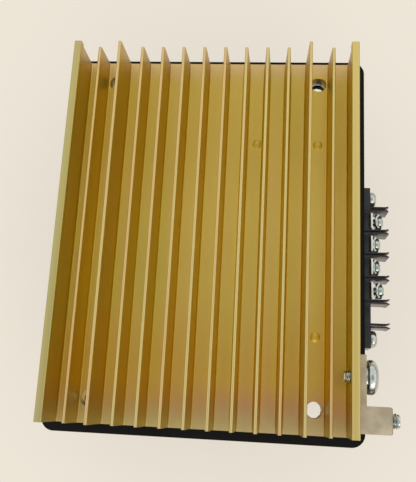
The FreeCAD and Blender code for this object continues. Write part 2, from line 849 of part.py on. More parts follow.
def power_module():
    top = sink_bottom - pad_thickness
    body_width_x = module_width - 2 * module_lug_width
    body = block((module_x, 0), (body_width_x, module_length), top - module_height, top)
    lugs = block((module_x, 0), (module_width, module_length), top - module_lug_height, top)
    pin = (pin_side, pin_side)
    pins = [block(p, pin, board_bottom, top - module_lug_height) for p in module_pin_places()]
    module = join([body, lugs] + pins)
    for place in module_screw_places():
        module = module.cut(
            small_upright_rod(module_screw_radius + hole_clearance, place, top - module_height - overcut,
                              top + overcut, inner_round_sides)
        )
    return module


def power_module_screws():
    seat_z = sink_bottom - pad_thickness - module_lug_height
    length = module_lug_height + pad_thickness + module_screw_grip
    one = hex_screw(module_screw_head_radius, module_screw_head_height, module_screw_radius, length)
    return Part.makeCompound([
        aim(one, Vector(x, y, seat_z), Vector(0, 0, -1)) for x, y in module_screw_places()
    ])


def rectifier_bridge():
    middle = (bridge_x, standoff_spacing_y / 2)
    lower = sink_bottom - bridge_height
    body = block(middle, (bridge_side, bridge_side), lower, sink_bottom)
    body = body.makeChamfer(bridge_chamfer, upright_edges(body)[:1])
    blade = (bridge_blade_width, bridge_blade_thickness)
    blades = [block(p, blade, board_bottom, lower + bridge_height / 2) for p in bridge_blade_places()]
    hole = small_upright_rod(bridge_screw_radius + hole_clearance, middle, lower - overcut,
                             sink_bottom + overcut, inner_round_sides)
    return join([body] + blades).cut(hole)


def bridge_screw():
    one = hex_screw(
        bridge_screw_head_radius, bridge_screw_head_height, bridge_screw_radius,
        bridge_height + standoff_stud_length
    )
    seat = Vector(bridge_x, standoff_spacing_y / 2, sink_bottom - bridge_height)
    return aim(one, seat, Vector(0, 0, -1))


def bus_capacitors():
    cans = []
    for place in bus_capacitor_places:
        low = board_bottom - bus_capacitor_height
        can = small_upright_rod(bus_capacitor_radius, place, low, board_bottom, large_round_sides)
        end_edges = [e for e in can.Edges if e.BoundBox.ZMax < low + bus_capacitor_edge]
        cans.append(can.makeChamfer(bus_capacitor_edge, end_edges))
    return Part.makeCompound(cans)


def hung_block(place, size):
    return block(place, size, board_bottom - size[2], board_bottom)


def film_capacitor():
    return hung_block(film_capacitor_place, film_capacitor_size)


def choke_core():
    top = board_bottom - choke_base_height - choke_wire
    low = top - choke_height
    ring = small_upright_rod(choke_outer_radius, choke_place, low, top, large_round_sides)
    hole = small_upright_rod(choke_inner_radius, choke_place, low - overcut, top + overcut, large_round_sides)
    return ring.cut(hole)


# Each turn is a square hoop round the core's section, and the hoops stand on a round plastic base
def choke_winding():
    top = board_bottom - choke_base_height - choke_wire
    low = top - choke_height
    turns = []
    for i in range(choke_turns):
        outside = box(
            choke_inner_radius - choke_wire, choke_outer_radius + choke_wire,
            -choke_wire / 2, choke_wire / 2, low - choke_wire, top + choke_wire
        )
        inside_x = choke_inner_radius - hole_clearance
        turn = outside.cut(box(inside_x, choke_outer_radius, -choke_wire, choke_wire, low, top))
        turn.rotate(Vector(0, 0, 0), Vector(0, 0, 1), 360 * i / choke_turns)
        turn.translate(Vector(choke_place[0], choke_place[1], 0))
        turns.append(turn)
    return Part.makeCompound(turns)


def choke_base():
    return small_upright_rod(
        choke_base_radius, choke_place, board_bottom - choke_base_height, board_bottom, large_round_sides
    )


def relay():
    return hung_block(relay_place, relay_size)


# A laminated core with two windows, and the coil round its middle limb
def transformer_core_stack():
    width, depth, height = transformer_core
    core = hung_block(transformer_place, transformer_core)
    window_width = (width - 4 * transformer_limb) / 2
    window_height = height - 2 * transformer_limb
    middle_z = board_bottom - height / 2
    for side in (-1, 1):
        place = (transformer_place[0] + side * (transformer_limb + window_width / 2), transformer_place[1])
        window = (window_width, 2 * depth)
        core = core.cut(block(place, window, middle_z - window_height / 2, middle_z + window_height / 2))
    return core


def transformer_coil():
    width, depth, height = transformer_core
    window_width = (width - 4 * transformer_limb) / 2
    coil_width = 2 * (transformer_limb + window_width - transformer_coil_wall)
    coil_height = height - 2 * transformer_limb - 2 * transformer_coil_wall
    middle_z = board_bottom - height / 2
    low = middle_z - coil_height / 2
    high = middle_z + coil_height / 2
    coil = block(transformer_place, (coil_width, transformer_coil_length), low, high)
    opening = (2 * (transformer_limb + transformer_coil_wall), depth + 2 * transformer_coil_wall)
    return coil.cut(block(transformer_place, opening, low - overcut, high + overcut))


def inrush_thermistor():
    middle_z = board_bottom - thermistor_radius - thermistor_gap
    half = thermistor_thickness / 2
    disc = small_rod(
        thermistor_radius, Vector(thermistor_place[0], thermistor_place[1] - half, middle_z), Vector(0, 1, 0),
        thermistor_thickness, large_round_sides
    )
    leads = []
    for side in (-1, 1):
        place = (thermistor_place[0] + side * thermistor_lead_spacing / 2, thermistor_place[1])
        leads.append(block(place, (thermistor_lead, thermistor_lead), middle_z, board_bottom))
    return join([disc] + leads)


def fuse():
    start = Vector(fuse_place[0], fuse_place[1] - fuse_length / 2, board_bottom - fuse_rise)
    return small_rod(fuse_radius, start, Vector(0, 1, 0), fuse_length)


# Each clip is a spring channel, open downwards, with the fuse between its two leaves
def fuse_clips():
    clips = []
    outer = fuse_radius + fuse_clip_thickness
    low = board_bottom - fuse_rise - fuse_radius
    for side in (-1, 1):
        y = fuse_place[1] + side * (fuse_length - fuse_cap_length) / 2
        channel = block((fuse_place[0], y), (2 * outer, fuse_clip_width), low, board_bottom)
        gap = block(
            (fuse_place[0], y), (2 * (fuse_radius + clearance), 2 * fuse_clip_width), low - overcut,
            board_bottom - fuse_clip_thickness
        )
        clips.append(channel.cut(gap))
    return Part.makeCompound(clips)


def trim_pots():
    pots = []
    low = board_bottom - trim_pot_height
    for place in trim_pot_places:
        case = hung_block(place, (trim_pot_side, trim_pot_side, trim_pot_height))
        slot_size = (trim_pot_slot_length, trim_pot_slot_width)
        slot = block(place, slot_size, low - overcut, low + trim_pot_slot_depth)
        pots.append(case.cut(slot))
    return Part.makeCompound(pots)


def controller_chip():
    return hung_block(controller_place, (controller_side, controller_side, controller_height))


def gate_drivers():
    return Part.makeCompound([hung_block(place, gate_driver_size) for place in gate_driver_places])


nodes = {
    "heat_sink": heat_sink,
    "cover": cover,
    "mounting_sleeves": mounting_sleeves,
    "cover_screws": cover_screws,
    "terminal_block": terminal_block,
    "terminal_contacts": terminal_contacts,
    "wire_clamps": wire_clamps,
    "terminal_screws": terminal_screws,
    "terminal_block_screws": terminal_block_screws,
    "ground_lug": ground_lug,
    "ground_washer": ground_washer,
    "ground_screw": ground_screw,
    "lug_clamp_screw": lug_clamp_screw,
    "circuit_board": circuit_board,
    "board_standoffs": board_standoffs,
    "board_screws": board_screws,
    "thermal_pad": thermal_pad,
    "power_module": power_module,
    "power_module_screws": power_module_screws,
    "rectifier_bridge": rectifier_bridge,
    "bridge_screw": bridge_screw,
    "bus_capacitors": bus_capacitors,
    "film_capacitor": film_capacitor,
    "choke_core": choke_core,
    "choke_winding": choke_winding,
    "choke_base": choke_base,
    "relay": relay,
    "transformer_core": transformer_core_stack,
    "transformer_coil": transformer_coil,
    "inrush_thermistor": inrush_thermistor,
    "fuse": fuse,
    "fuse_clips": fuse_clips,
    "trim_pots": trim_pots,
    "controller_chip": controller_chip,
    "gate_drivers": gate_drivers,
}

os.makedirs("parts", exist_ok=True)
for node, make in nodes.items():
    shape = make()
    shape.exportStep(os.path.join("parts", node + ".step"))
    print(node, "solids", len(shape.Solids), "volume", round(shape.Volume, 1), "valid", shape.isValid())
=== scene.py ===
import json
import math

import bmesh
import bpy
from mathutils import Matrix, Vector


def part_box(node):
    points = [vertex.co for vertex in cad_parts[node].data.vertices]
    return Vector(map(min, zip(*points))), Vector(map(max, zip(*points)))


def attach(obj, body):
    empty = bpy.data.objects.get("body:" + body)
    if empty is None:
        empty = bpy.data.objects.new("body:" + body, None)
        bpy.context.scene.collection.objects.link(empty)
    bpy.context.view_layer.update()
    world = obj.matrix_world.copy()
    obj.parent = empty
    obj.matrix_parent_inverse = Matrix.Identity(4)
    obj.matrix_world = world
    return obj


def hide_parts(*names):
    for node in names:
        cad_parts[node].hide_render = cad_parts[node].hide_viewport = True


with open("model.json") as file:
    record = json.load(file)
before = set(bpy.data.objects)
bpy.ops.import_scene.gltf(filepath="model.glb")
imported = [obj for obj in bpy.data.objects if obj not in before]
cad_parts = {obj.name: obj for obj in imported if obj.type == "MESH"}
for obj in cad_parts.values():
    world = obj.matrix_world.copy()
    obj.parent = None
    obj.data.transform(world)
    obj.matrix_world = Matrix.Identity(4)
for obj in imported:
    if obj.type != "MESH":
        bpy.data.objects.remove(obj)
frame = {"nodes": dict(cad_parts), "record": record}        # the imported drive: metres, +Z up, lying on the front of its cover, terminals on +X

# An ac motor drive: a gold chromated heat sink closes a black moulded cover, with a barrier terminal strip
# and a ground lug on its right side. The dictionaries hold millimetres, degrees, watts and colours.
mm = 0.001
nodes = frame["nodes"]
slotOf = {part["node"]: part["material_slot"] for part in frame["record"]["subparts"]}
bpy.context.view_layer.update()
alongX = Matrix.Rotation(math.radians(90), 4, "Y")   # turns what is built standing on +Z to point along +X
dressed = set()                                      # the CAD nodes that a piece of this script stands for


# Meshes

def meshObject(name, bm):
    bmesh.ops.recalc_face_normals(bm, faces=bm.faces)
    mesh = bpy.data.meshes.new(name)
    bm.to_mesh(mesh)
    bm.free()
    piece = bpy.data.objects.new(name, mesh)
    bpy.context.scene.collection.objects.link(piece)
    return piece


def removed(*pieces):
    for piece in pieces:
        bpy.data.objects.remove(piece)


def applied(piece):   # the modifiers' result becomes the piece's own plain mesh
    result = bpy.data.meshes.new_from_object(piece.evaluated_get(bpy.context.evaluated_depsgraph_get()))
    piece.modifiers.clear()
    piece.data = result
    return piece


def rounded(piece, width, segments=2, sharpest=40):   # every edge sharper than this angle gets a small round
    bevel = piece.modifiers.new("rounds", "BEVEL")
    bevel.width = width * mm
    bevel.segments = segments
    bevel.limit_method = "ANGLE"
    bevel.angle_limit = math.radians(sharpest)
    return applied(piece)


def combined(piece, operation, *others):
    for other in others:
        boolean = piece.modifiers.new(operation.lower(), "BOOLEAN")
        boolean.operation = operation
        boolean.solver = "EXACT"
        boolean.object = other
    applied(piece)
    removed(*others)
    return piece


def filleted(corners, steps=4):   # corners are (x, y, radius); those with a radius become arcs
    points = []
    for i, (x, y, radius) in enumerate(corners):
        here = Vector((x, y))
        if not radius:
            points.append(here)
            continue
        before = (Vector(corners[i - 1][:2]) - here).normalized()
        after = (Vector(corners[(i + 1) % len(corners)][:2]) - here).normalized()
        half = before.angle(after) / 2
        centre = here + (before + after).normalized() * radius / math.sin(half)
        start = here + before * radius / math.tan(half) - centre
        end = here + after * radius / math.tan(half) - centre
        points += [centre + (start.lerp(end, k / steps)).normalized() * radius for k in range(steps + 1)]
    return points


def prism(name, outline, low, high, across="xz"):   # a closed outline swept along the axis that it lacks
    order = {"xz": lambda a, b, c: (a, c, b), "xy": lambda a, b, c: (a, b, c)}
    bm = bmesh.new()
    ends = [
        [bm.verts.new(Vector(order[across](a, b, c)) * mm) for a, b in outline] for c in (low, high)
    ]
    for end in ends:
        bm.faces.new(end)
    for i in range(len(outline)):
        bm.faces.new((ends[0][i - 1], ends[0][i], ends[1][i], ends[1][i - 1]))
    return meshObject(name, bm)


def plate(name, lows, highs):
    corners = [(lows[0], lows[2]), (highs[0], lows[2]), (highs[0], highs[2]), (lows[0], highs[2])]
    return prism(name, corners, lows[1], highs[1])


# (radius, height) pairs turned round Z: a radius may be a function of the turn, and a pole is one point
def lathe(name, outline, sides=48, closed=False):
    bm = bmesh.new()
    turns = [2 * math.pi * i / sides for i in range(sides)]
    rings = []
    for radius, height in outline:
        if radius == 0:
            rings.append([bm.verts.new((0, 0, height * mm))])
            continue
        reach = radius if callable(radius) else lambda turn, fixed=radius: fixed
        rings.append([
            bm.verts.new(Vector((reach(t) * math.cos(t), reach(t) * math.sin(t), height)) * mm) for t in turns
        ])
    for lower, upper in zip(rings, rings[1:] + (rings[:1] if closed else [])):
        for i in range(sides):
            around = [lower[i % len(lower)], lower[(i + 1) % sides % len(lower)],
                      upper[(i + 1) % sides % len(upper)], upper[i % len(upper)]]
            bm.faces.new(list(dict.fromkeys(around)))
    return meshObject(name, bm)


def drill(radius, low, high, sides=32):   # a plain round to cut with, from low to high along Z
    return lathe("drill", [(0, low), (radius, low), (radius, high), (0, high)], sides)


def hexagon(acrossFlats):   # a radius that follows a hexagon, for lathe
    return lambda turn: acrossFlats / 2 / math.cos((turn + math.pi / 6) % (math.pi / 3) - math.pi / 6)


def threadedRod(name, radius, pitch, length, sides=32, perPitch=6):   # from z = 0 up, with a helical thread
    depth = 0.54 * pitch   # as on a common metric thread
    levels = round(length / pitch * perPitch)

    def reach(height):
        def around(turn):
            crest = abs((height / pitch - turn / (2 * math.pi)) % 1 * 2 - 1)
            taper = min(1, height / pitch, (length - height) / pitch)   # the thread runs out at both ends
            return radius - depth * (1 - crest * max(taper, 0))
        return around

    heights = [length * i / levels for i in range(levels + 1)]
    return lathe(name, [(0, 0)] + [(reach(h), h) for h in heights] + [(0, length)], sides)


def blade(length, width, depth, top, turn=0, tipShare=0.45):   # one wing of a driver's recess, to be cut out
    half, tip, over = length / 2, length / 2 * tipShare, 1.0
    left = [(-half, top + over), (-half, top), (-tip, top - depth)]
    corners = left + [(-x, z) for x, z in reversed(left)]
    wing = prism("wing", corners, -width / 2, width / 2)
    wing.data.transform(Matrix.Rotation(math.radians(turn), 4, "Z"))
    return wing


def seat(low, high, x):   # the middle of a box, at this x
    middle = (low + high) / 2
    return Vector((x, middle.y, middle.z))


def placed(piece, place, turn=0):   # from its own Z axis to a seat on the drive that faces +X
    spin = Matrix.Rotation(math.radians(turn), 4, "Z")
    piece.data.transform(Matrix.Translation(Vector(place)) @ alongX @ spin)
    return piece


def joined(piece, *others):
    bm = bmesh.new()
    for part in (piece,) + others:
        bm.from_mesh(part.data)
    bm.to_mesh(piece.data)
    bm.free()
    removed(*others)
    return piece


def merged(nodeName):   # a CAD node's triangles with their corners joined
    bm = bmesh.new()
    bm.from_mesh(nodes[nodeName].data)
    bmesh.ops.remove_doubles(bm, verts=bm.verts, dist=0.001 * mm)
    return bm


def softened(nodeName, width, segments=2, sharpest=40):   # a CAD node's own shape with its edges eased
    bm = merged(nodeName)
    bmesh.ops.dissolve_limit(bm, angle_limit=math.radians(0.5), verts=bm.verts, edges=bm.edges)
    return rounded(meshObject(nodeName + ".soft", bm), width, segments, sharpest)


def solidBoxes(nodeName):   # lowest and highest corner of each solid of a CAD node, in order of y, then x
    bm = merged(nodeName)
    left, boxes = set(bm.verts), []
    while left:
        reached, edge = set(), [left.pop()]
        while edge:
            vert = edge.pop()
            reached.add(vert)
            linked = {e.other_vert(vert) for e in vert.link_edges} & left
            left -= linked
            edge += linked
        boxes.append([Vector([pick(v.co[i] for v in reached) for i in range(3)]) for pick in (min, max)])
    bm.free()
    return sorted(boxes, key=lambda box: (round(box[0].y, 6), box[0].x))


def finished(piece, nodeName, finish, smoothest=35):   # its shading, finish, body and CAD node
    piece.name = piece.data.name = nodeName + ".look"
    piece.data.materials.clear()
    piece.data.materials.append(finish)
    piece.data.shade_smooth()
    piece.data.set_sharp_from_angle(angle=math.radians(smoothest))
    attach(piece, "root")
    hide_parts(nodeName)
    dressed.add(nodeName)
    return piece


# Geometry Nodes for what repeats: copies of a piece on the points of a mesh

def repeatTree():
    tree = bpy.data.node_groups.new("copiesOnPoints", "GeometryNodeTree")
    sides = tree.interface
    sides.new_socket("Geometry", in_out="OUTPUT", socket_type="NodeSocketGeometry")
    for name, kind in (("Points", "Geometry"), ("Piece", "Object"), ("Turn", "Float"), ("Seed", "Int"),
                       ("Finish", "Material")):
        sides.new_socket(name, in_out="INPUT", socket_type="NodeSocket" + kind)
    make, link = tree.nodes.new, tree.links.new
    given, result = make("NodeGroupInput"), make("NodeGroupOutput")
    source, copies = make("GeometryNodeObjectInfo"), make("GeometryNodeInstanceOnPoints")
    chance, angles = make("FunctionNodeRandomValue"), make("ShaderNodeCombineXYZ")
    realize, paint = make("GeometryNodeRealizeInstances"), make("GeometryNodeSetMaterial")
    minus = make("ShaderNodeMath")
    minus.operation = "MULTIPLY"
    minus.inputs[1].default_value = -1
    link(given.outputs["Piece"], source.inputs["Object"])
    link(given.outputs["Points"], copies.inputs["Points"])
    link(source.outputs["Geometry"], copies.inputs["Instance"])
    link(given.outputs["Turn"], minus.inputs[0])
    link(minus.outputs[0], chance.inputs[2])      # the random value's lowest and highest number
    link(given.outputs["Turn"], chance.inputs[3])
    link(given.outputs["Seed"], chance.inputs["Seed"])
    link(chance.outputs[1], angles.inputs["X"])
    link(angles.outputs[0], copies.inputs["Rotation"])
    link(copies.outputs[0], realize.inputs[0])
    link(realize.outputs[0], paint.inputs["Geometry"])
    link(given.outputs["Finish"], paint.inputs["Material"])
    link(paint.outputs[0], result.inputs[0])
    return tree


copiesOnPoints = repeatTree()


def repeated(name, piece, places, finish, turn=0, seed=1):   # turn is the most that a copy turns round X
    bm = bmesh.new()
    for place in places:
        bm.verts.new(place)
    row = meshObject(name, bm)
    modifier = row.modifiers.new("copies", "NODES")
    modifier.node_group = copiesOnPoints
    named = {item.name: item.identifier for item in copiesOnPoints.interface.items_tree}
    for key, value in (("Piece", piece), ("Turn", math.radians(turn)), ("Seed", seed), ("Finish", finish)):
        modifier[named[key]] = value
    applied(row)
    removed(piece)
    return row


# Materials: a Wire is one socket, so that maths on it is written as an expression

class Wire:
    def __init__(self, tree, socket):
        self.tree, self.socket = tree, socket

    def maths(self, operation, *values):
        return addNode(self.tree, "ShaderNodeMath", {"operation": operation}, dict(enumerate(values)))

    def __add__(self, other):
        return self.maths("ADD", self, other)

    def __sub__(self, other):
        return self.maths("SUBTRACT", self, other)

    def __rsub__(self, other):
        return self.maths("SUBTRACT", other, self)

    def __mul__(self, other):
        return self.maths("MULTIPLY", self, other)

    __radd__ = __add__
    __rmul__ = __mul__

    def between(self, low, high):   # 0 at low, 1 at high, smooth between; low may be the larger
        return addNode(self.tree, "ShaderNodeMapRange", {"interpolation_type": "SMOOTHSTEP"},
                       {"Value": self, "From Min": low, "From Max": high})

    def size(self):
        return self.maths("ABSOLUTE", self)


def addNode(tree, kind, settings, inputs, output=0):
    node = tree.nodes.new(kind)
    for name, value in settings.items():
        setattr(node, name, value)
    for name, value in inputs.items():
        if isinstance(value, Wire):
            tree.links.new(value.socket, node.inputs[name])
        else:
            node.inputs[name].default_value = value
    return Wire(tree, node.outputs[output])


def colour(red, green, blue):
    return (red, green, blue, 1.0)


socketNames = {"baseColor": "Base Color", "gloss": "Specular IOR Level"}   # the rest go by their own name


class Finish:
    def __init__(self, name, **constants):
        self.material = bpy.data.materials.new(name)
        self.material.use_nodes = True
        self.tree = self.material.node_tree
        self.shader = self.tree.nodes["Principled BSDF"]
        self.place = self.node("ShaderNodeTexCoord", {}, {}, 3)     # object coordinates, in metres
        self.facing = self.node("ShaderNodeTexCoord", {}, {}, 1)    # the surface's own normal
        self.feed(**constants)

    def node(self, kind, settings, inputs, output=0):
        return addNode(self.tree, kind, settings, inputs, output)

    def part(self, vector, axis):
        return self.node("ShaderNodeSeparateXYZ", {}, {0: vector}, "xyz".index(axis))

    def noise(self, size, stretch=(1, 1, 1), detail=2.0, roughness=0.5):   # size and stretch in millimetres
        scaled = self.node("ShaderNodeMapping", {}, {"Vector": self.place, "Scale": [1 / s for s in stretch]})
        inputs = {"Vector": scaled, "Scale": 1 / (size * mm), "Detail": detail, "Roughness": roughness}
        return self.node("ShaderNodeTexNoise", {}, inputs)

    def mix(self, factor, first, second):
        return self.node("ShaderNodeMix", {"data_type": "RGBA"}, {0: factor, 6: first, 7: second}, 2)

    def bump(self, height, strength, distance):
        inputs = {"Height": height, "Strength": strength, "Distance": distance * mm}
        return self.node("ShaderNodeBump", {}, inputs)

    def feed(self, **sockets):
        for name, value in sockets.items():
            socket = self.shader.inputs[socketNames.get(name, name.capitalize())]
            if isinstance(value, Wire):
                self.tree.links.new(value.socket, socket)
            else:
                socket.default_value = value
        return self.material


goldLook = {
    "gold": colour(0.68, 0.52, 0.14),
    "olive": colour(0.61, 0.52, 0.13),
    "rose": colour(0.74, 0.48, 0.24),
    "copper": colour(0.60, 0.36, 0.07),
    "deep": colour(0.56, 0.41, 0.09),
    "violet": colour(0.58, 0.31, 0.22),
    "lemon": colour(0.53, 0.47, 0.21),
    # painted light: the side gold is brighter and deeper than the coat, for the light that the fin sides
    # bounce between them
    "side": colour(0.82, 0.63, 0.05),
    "end": colour(0.60, 0.40, 0.22),
    "rubbed": colour(0.64, 0.46, 0.23),
    "paleTip": colour(0.61, 0.52, 0.24),
    # painted shade: the left flange tip is darker and greyer than the right, for the dimmer room on that side
    "shadedLeftFlange": colour(0.42, 0.38, 0.17),
    "litRightFlange": colour(0.62, 0.51, 0.19),
    "roughness": 0.38,
}
goldZones = {   # where a tint or a painted shade begins and where it is full: along the fins, across them, and up
    "copper": (-5, -45), "deep": (10, 50), "violet": (-50, -68), "lemon": (-60, -70), "end": (68, 78),
    "toTheRight": (-30, 30), "shadeToLightAcross": (-50, 50), "inside": (57.6, 57.2), "flanges": (52, 54),
    "tips": (57.5, 59),
}


def zone(name, distance):   # 0 before the zone, 1 where it is full
    begin, full = goldZones[name]
    return distance.between(begin * mm, full * mm)


# A dipped conversion coat: gold that drifts to olive and rose, thin and pale on the fin tips; painted light
# brightens the fin sides and painted shade darkens the left flange
def goldChromate():
    look = goldLook
    finish = Finish("goldChromate", metallic=1.0)
    across, length, height = [finish.part(finish.place, axis) for axis in "xyz"]
    side, up = finish.part(finish.facing, "x").size(), finish.part(finish.facing, "z")
    streaks = finish.noise(9, (1, 30, 1), 3)
    clouds = finish.noise(34, (1, 2.2, 1), 2)
    tint = finish.mix(clouds.between(0.38, 0.66), look["gold"], look["olive"])
    tint = finish.mix(streaks.between(0.45, 0.75) * 0.55, tint, look["rose"])
    tint = finish.mix(zone("copper", length + clouds * (30 * mm)) * 0.5, tint, look["copper"])
    tint = finish.mix(zone("deep", length + clouds * (20 * mm)) * 0.5, tint, look["deep"])
    lowEnd = zone("violet", length + clouds * (12 * mm))
    tint = finish.mix(lowEnd * (0.55 + 0.35 * zone("toTheRight", across)), tint, look["violet"])
    tint = finish.mix(zone("lemon", length + clouds * (8 * mm)) * 0.7, tint, look["lemon"])
    topEnd = zone("end", length + streaks * (6 * mm))
    # painted light: faces that point sideways, inside the flanges, take the side gold, less so towards both
    # ends
    paintedWallLight = side * zone("inside", across.size())
    tint = finish.mix(paintedWallLight * (0.75 - 0.6 * topEnd - 0.4 * lowEnd), tint, look["side"])
    tint = finish.mix(topEnd * 0.6, tint, look["end"])
    rubbed = up.between(0.25, 0.8) * zone("tips", height)
    drift = finish.noise(13, (1, 9, 1), 1).between(0.40, 0.58)
    tipTint = finish.mix(drift, look["rubbed"], look["paleTip"])
    # painted shade: the flange tips go from a shaded grey-green on the left to a lit yellow on the right
    flangeShadeTint = finish.mix(zone("shadeToLightAcross", across), look["shadedLeftFlange"], look["litRightFlange"])
    tipTint = finish.mix(zone("flanges", across.size()), tipTint, flangeShadeTint)
    tint = finish.mix(rubbed * (0.65 + 0.3 * clouds), tint, tipTint)
    dieLines = finish.noise(0.55, (1, 400, 1), 3)
    grain = finish.noise(0.25, (1, 6, 1), 2)
    return finish.feed(
        baseColor=tint,
        roughness=look["roughness"] + 0.10 * clouds + 0.05 * grain - 0.06 * rubbed,
        normal=finish.bump(dieLines * 0.7 + grain * 0.3, 0.35, 0.05),
    )


mouldingLook = {"dark": colour(0.004, 0.004, 0.004), "pale": colour(0.009, 0.009, 0.009), "roughness": 0.40}
thermosetLook = {
    "dark": colour(0.004, 0.004, 0.005), "pale": colour(0.008, 0.007, 0.009),
    # painted reflection: a pale grey for the faces that point along the strip, as if they mirrored the table
    "paintedTableReflection": colour(0.105, 0.095, 0.088), "roughness": 0.16,
}


def blackMoulding():
    look = mouldingLook
    finish = Finish("blackMoulding", gloss=0.06)
    cloud = finish.noise(22, detail=3)
    return finish.feed(
        baseColor=finish.mix(cloud, look["dark"], look["pale"]),
        roughness=look["roughness"] + 0.12 * cloud,
        normal=finish.bump(finish.noise(0.28), 0.25, 0.06),
    )


def glossThermoset():   # the barrier faces that point along the strip take a painted reflection of the pale table
    look = thermosetLook
    finish = Finish("glossThermoset", gloss=0.38)
    cloud = finish.noise(6)
    # painted reflection: faces that point along the strip are mixed towards the pale tint
    wall = finish.part(finish.facing, "y").size().between(0.6, 0.95)
    tint = finish.mix(cloud, look["dark"], look["pale"])
    return finish.feed(
        baseColor=finish.mix(wall * (0.45 + 0.4 * cloud), tint, look["paintedTableReflection"]),
        roughness=look["roughness"] + 0.10 * cloud,
        normal=finish.bump(finish.noise(1.1), 0.12, 0.05),
    )


# Plated metals: name, colour, a second colour that it drifts to, roughness, its drift, and grain size
metalLooks = {
    "plated_steel": ("zincPlate", colour(0.40, 0.45, 0.44), colour(0.56, 0.59, 0.55), 0.12, 0.10, 0.4),
    "tinned_brass": ("tinnedBrass", colour(0.72, 0.70, 0.64), colour(0.80, 0.78, 0.72), 0.26, 0.14, 0.3),
    "plated_brass": ("platedBrass", colour(0.66, 0.62, 0.50), colour(0.74, 0.70, 0.58), 0.24, 0.12, 0.3),
}


def metalFinish(slot):
    name, first, second, roughness, spread, grain = metalLooks[slot]
    finish = Finish(name, metallic=1.0)
    cloud = finish.noise(3.5, detail=3)
    return finish.feed(
        baseColor=finish.mix(cloud.between(0.35, 0.65), first, second),
        roughness=roughness + spread * cloud,
        normal=finish.bump(finish.noise(grain), 0.2, 0.02),
    )


aluminiumLook = {
    "dark": colour(0.36, 0.31, 0.22), "pale": colour(0.46, 0.40, 0.29), "pits": colour(0.26, 0.23, 0.18),
    "roughness": 0.46,
}


def bareAluminium():   # sawn and tumbled extrusion, gone dull
    look = aluminiumLook
    finish = Finish("bareAluminium", metallic=0.75)
    cloud = finish.noise(5, detail=4)
    pits = finish.noise(0.5, detail=3, roughness=0.6)
    tint = finish.mix(cloud.between(0.35, 0.68), look["dark"], look["pale"])
    return finish.feed(
        baseColor=finish.mix(pits.between(0.62, 0.72) * 0.5, tint, look["pits"]),
        roughness=look["roughness"] + 0.2 * cloud,
        normal=finish.bump(pits, 0.35, 0.08),
    )


# What is shut inside the cover: colour, a second colour that it drifts to, roughness, metallic and grain size
innerLooks = {
    "laminate": (colour(0.03, 0.17, 0.08), colour(0.05, 0.24, 0.11), 0.35, 0.0, 0.8),
    "silicone_pad": (colour(0.50, 0.52, 0.53), colour(0.58, 0.60, 0.61), 0.75, 0.0, 0.3),
    "module_plastic": (colour(0.020, 0.020, 0.022), colour(0.035, 0.035, 0.038), 0.55, 0.0, 0.2),
    "capacitor_sleeve": (colour(0.02, 0.025, 0.05), colour(0.03, 0.035, 0.07), 0.22, 0.0, 2.0),
    "box_plastic": (colour(0.62, 0.45, 0.06), colour(0.70, 0.54, 0.10), 0.35, 0.0, 1.0),
    "ferrite": (colour(0.05, 0.05, 0.055), colour(0.09, 0.09, 0.095), 0.7, 0.1, 0.3),
    "copper_wire": (colour(0.62, 0.24, 0.10), colour(0.72, 0.32, 0.14), 0.25, 0.9, 0.5),
    "lamination": (colour(0.22, 0.22, 0.23), colour(0.34, 0.34, 0.35), 0.45, 0.8, 0.35),
    "coil_tape": (colour(0.70, 0.55, 0.12), colour(0.78, 0.64, 0.20), 0.40, 0.0, 1.2),
    "ceramic": (colour(0.04, 0.09, 0.05), colour(0.06, 0.13, 0.07), 0.35, 0.0, 0.4),
    "blue_plastic": (colour(0.02, 0.06, 0.32), colour(0.03, 0.09, 0.42), 0.30, 0.0, 0.8),
}
glassLook = {
    "dark": colour(0.80, 0.83, 0.84), "pale": colour(0.90, 0.92, 0.92), "roughness": 0.05, "alpha": 0.35,
}


def innerFinish(slot):
    first, second, roughness, metallic, grain = innerLooks[slot]
    finish = Finish(slot, metallic=metallic)
    cloud = finish.noise(8)
    return finish.feed(
        baseColor=finish.mix(cloud, first, second),
        roughness=roughness + 0.1 * cloud,
        normal=finish.bump(finish.noise(grain), 0.2, 0.04),
    )


def fuseGlass():
    look = glassLook
    finish = Finish("fuseGlass")
    haze = finish.noise(4)
    return finish.feed(
        baseColor=finish.mix(haze, look["dark"], look["pale"]),
        roughness=look["roughness"] + 0.08 * haze,
        alpha=look["alpha"] + 0.2 * haze,
    )


finishes = {
    "gold_aluminium": goldChromate(),
    "black_moulding": blackMoulding(),
    "strip_plastic": glossThermoset(),
    "bare_aluminium": bareAluminium(),
    "fuse_glass": fuseGlass(),
}
finishes.update({slot: metalFinish(slot) for slot in metalLooks})
finishes.update({slot: innerFinish(slot) for slot in innerLooks})
steel = finishes["plated_steel"]
print("materials made:", len(finishes))


# Heat sink: one extrusion, so its outline is drawn once and swept along Y

sinkSizes = {
    "base": 5.0, "shortFin": 14.3, "pitch": 8.66, "innerFins": 4, "holeChannel": 9.42,
    "tip": 1.25, "root": 2.3, "rootRound": 0.7, "tipRound": 0.5,
    "flangeTip": 3.0, "flangeWeb": 2.5, "lip": 4.0, "flangeRound": 0.55, "lipRound": 0.25, "footRound": 0.3,
    "saw": 0.12, "holeRadius": 3.05, "holeOffset": 4.33, "holeEnd": 9.4, "countersink": 0.25,
    "screwBore": 2.55, "domeRadius": 1.95, "domeHeight": 0.5, "domeFoot": 0.3,
    "domes": ((43.3, 39.5), (43.3, -39.5), (18.3, 39.5)),
}


def tallFin():   # its distance from the middle
    return (sinkSizes["innerFins"] + 0.5) * sinkSizes["pitch"]


